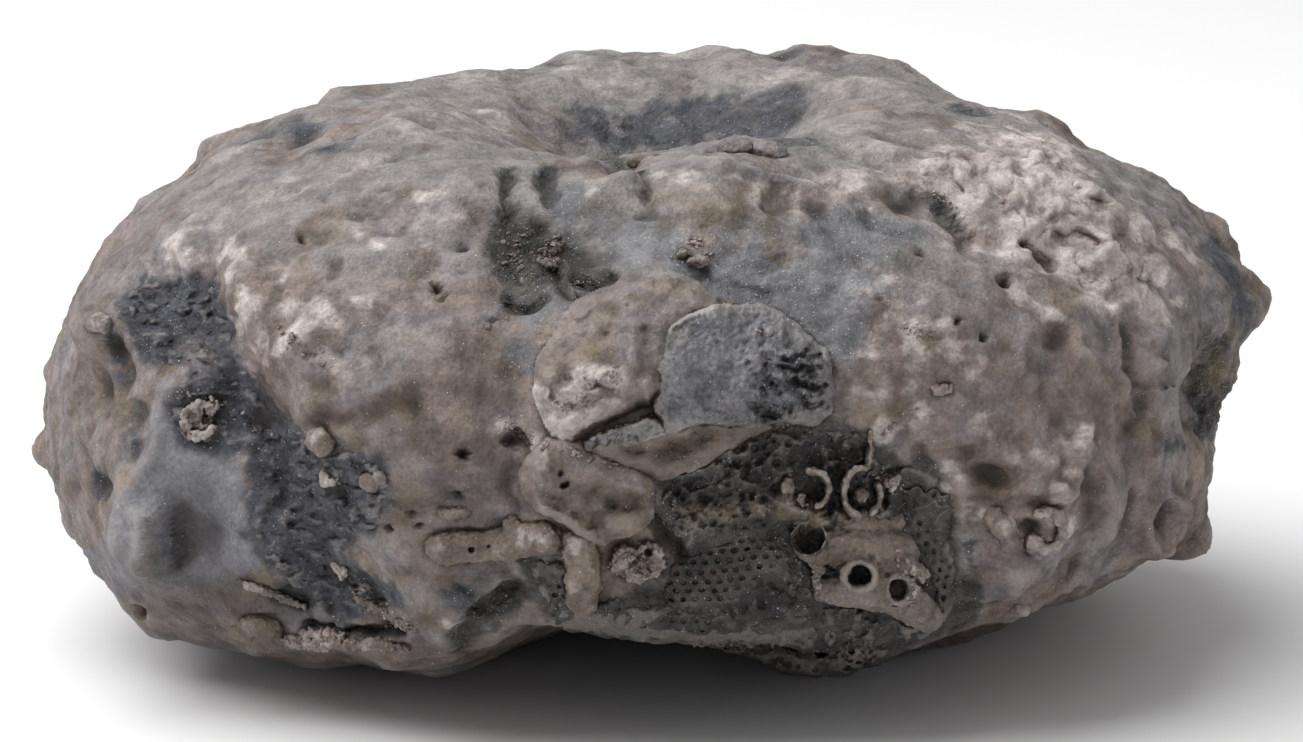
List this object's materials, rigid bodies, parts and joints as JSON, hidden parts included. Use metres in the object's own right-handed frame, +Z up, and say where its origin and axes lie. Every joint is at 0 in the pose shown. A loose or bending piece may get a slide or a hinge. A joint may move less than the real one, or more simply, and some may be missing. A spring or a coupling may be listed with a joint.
{
  "type": "fossil crinoid",
  "caption": "Squat, lobed crinoid cup turned to stone, with a stem pit in its upper face and fossil crusts, coral tubes and a shell fragment grown on its side.",
  "frame": {"origin": "centre of the bounding box in plan, on the plane the stone rests on", "axes": "+X along the longest extent, to the right as seen from the front; +Z up, the shortest extent, out of the stem pit; the front, with the shell fragment, faces -Y"},
  "size_m": [0.0392, 0.0372, 0.0178],
  "materials": {
    "stone": "matt fossil limestone, brown-grey with pale calcite and dark blue-grey shale, faintly sparkling"
  },
  "bodies": {
    "root": {"crinoid_fossil": "stone"}
  },
  "joints": []
}
